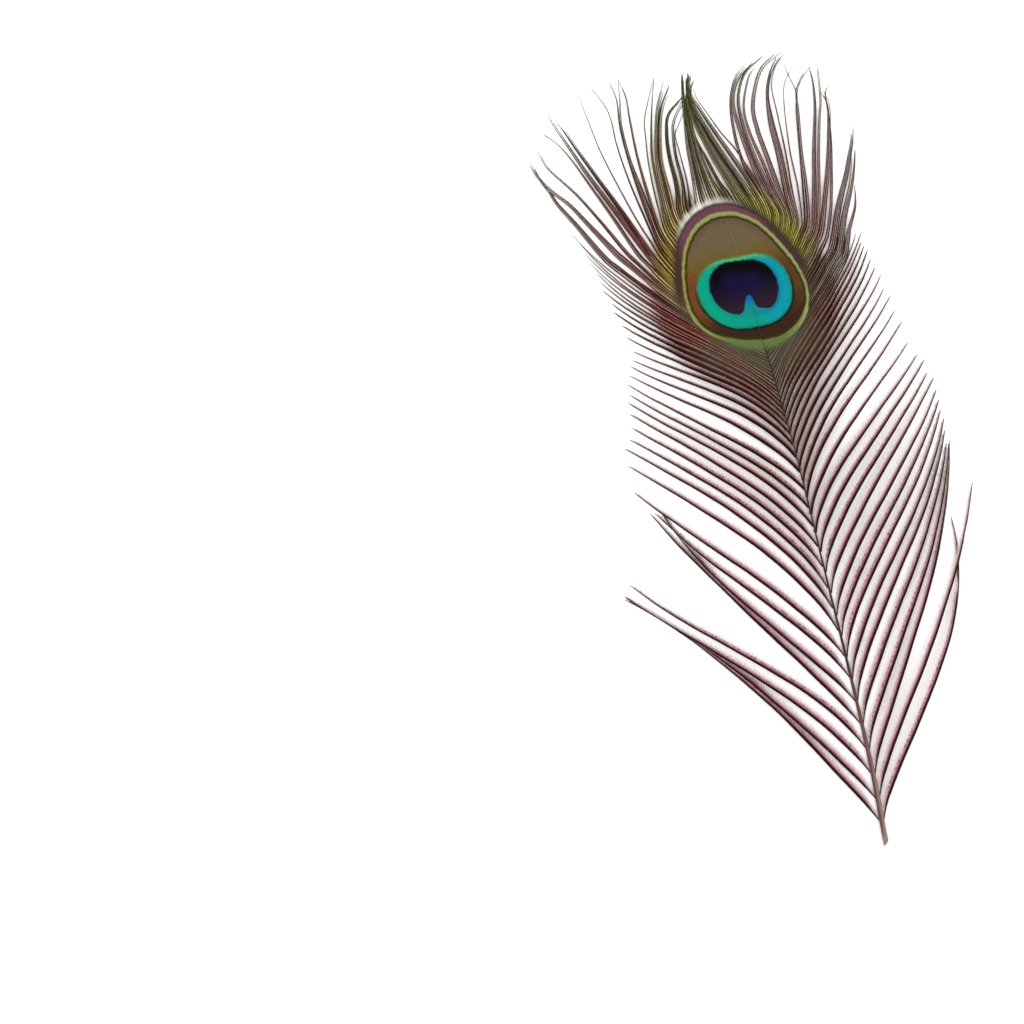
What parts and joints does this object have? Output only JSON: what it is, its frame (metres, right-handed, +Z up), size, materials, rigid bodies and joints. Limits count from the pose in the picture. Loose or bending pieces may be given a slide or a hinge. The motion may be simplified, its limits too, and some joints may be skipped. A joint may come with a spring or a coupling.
{
  "type": "peacock feather",
  "caption": "Peacock eye feather lying flat: a tapering shaft with loose barbs on both sides, the round eye at the end and a crown of barb tips beyond it.",
  "frame": {"origin": "on the flat underside of the shaft, in the middle of its width, at the cut end", "axes": "+Y along the shaft from the cut end towards the eye, +X to the right seen from above, +Z up from the table to the coloured side"},
  "size_m": [0.1186, 0.2592, 0.0033],
  "materials": {
    "keratin": "satin keratin"
  },
  "bodies": {
    "root": {"feather": "keratin"}
  },
  "joints": []
}
